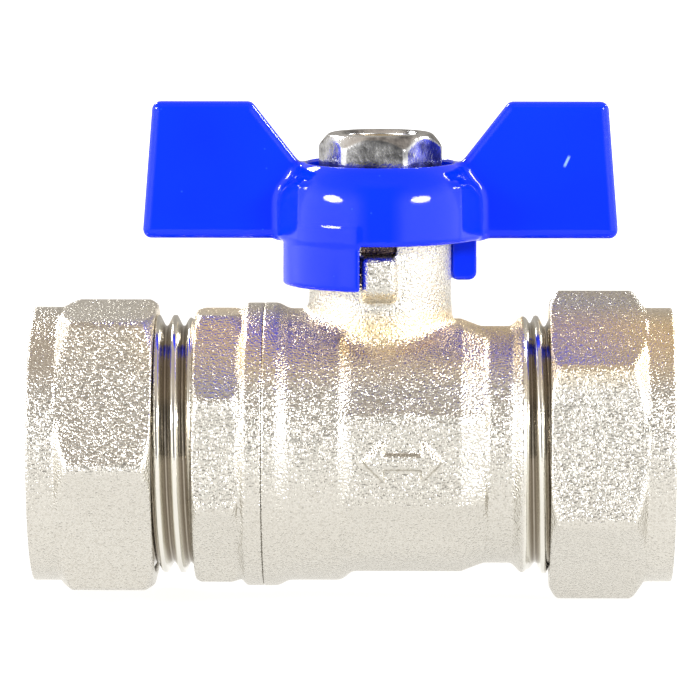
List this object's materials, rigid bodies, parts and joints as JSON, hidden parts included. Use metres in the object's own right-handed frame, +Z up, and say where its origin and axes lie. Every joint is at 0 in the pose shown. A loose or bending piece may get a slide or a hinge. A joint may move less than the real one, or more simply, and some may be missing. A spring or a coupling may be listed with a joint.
{
  "type": "ball valve",
  "caption": "Quarter-turn ball valve with two 22 mm compression ends, a nickel-plated brass body and a blue butterfly handle.",
  "frame": {"origin": "where the pipe axis crosses the stem axis, at the centre of the ball", "axes": "+X along the pipe towards the threaded end of the body, +Z up along the stem towards the handle, -Y towards the pad with the flow mark"},
  "size_m": [0.0738, 0.036, 0.0578],
  "materials": {
    "nickel_body": "satin nickel plate over forged and shot-blasted brass",
    "nickel_connector": "satin nickel plate over brass, bright on the thread",
    "nickel_nut": "satin nickel plate over forged and shot-blasted brass",
    "seal_rubber": "matte black nitrile rubber",
    "o_ring_rubber": "smooth black nitrile rubber",
    "ball_chrome": "polished chrome plate over brass",
    "seat_ptfe": "waxy white PTFE",
    "stem_brass": "machined brass",
    "gland_brass": "machined brass",
    "handle_blue": "gloss blue epoxy coat over die-cast aluminium",
    "zinc_nut": "bright zinc plate over steel",
    "olive_brass": "bare turned brass"
  },
  "bodies": {
    "valve": {"valve_body": "nickel_body", "end_connector": "nickel_connector", "body_joint_seal": "seal_rubber", "seat_left": "seat_ptfe", "seat_right": "seat_ptfe", "stem_thrust_washer": "seat_ptfe", "stem_packing": "seat_ptfe", "gland_nut": "gland_brass"},
    "handle_and_stem": {"handle": "handle_blue", "handle_nut": "zinc_nut", "stem": "stem_brass", "stem_o_ring_lower": "o_ring_rubber", "stem_o_ring_upper": "o_ring_rubber"},
    "ball": {"ball": "ball_chrome"},
    "olive_left": {"olive_left": "olive_brass"},
    "nut_left": {"compression_nut_left": "nickel_nut"},
    "olive_right": {"olive_right": "olive_brass"},
    "nut_right": {"compression_nut_right": "nickel_nut"}
  },
  "joints": [
    {"name": "handle_turn", "type": "hinge", "parent": "valve", "child": "handle_and_stem", "pos_m": [0, 0, 0.0289], "axis": [0, 0, 1], "range_deg": [-90, 0]},
    {"name": "ball_turn", "type": "hinge", "parent": "valve", "child": "ball", "pos_m": [0, 0, 0], "axis": [0, 0, 1], "range_deg": [-90, 0]},
    {"name": "olive_left_travel", "type": "slide", "parent": "valve", "child": "olive_left", "axis": [1, 0, 0], "range_m": [-0.0052, 0]},
    {"name": "nut_left_turn", "type": "hinge", "parent": "olive_left", "child": "nut_left", "pos_m": [-0.033, 0, 0], "axis": [1, 0, 0], "range_deg": [-900, 0]},
    {"name": "olive_right_travel", "type": "slide", "parent": "valve", "child": "olive_right", "axis": [1, 0, 0], "range_m": [0, 0.0052]},
    {"name": "nut_right_turn", "type": "hinge", "parent": "olive_right", "child": "nut_right", "pos_m": [0.0267, 0, 0], "axis": [1, 0, 0], "range_deg": [0, 900]}
  ],
  "couplings": [
    {"joint": "ball_turn", "follows": "handle_turn", "ratio": 1},
    {"joint": "olive_left_travel", "follows": "nut_left_turn", "m_per_rad": 0.00031831},
    {"joint": "olive_right_travel", "follows": "nut_right_turn", "m_per_rad": 0.00031831}
  ]
}
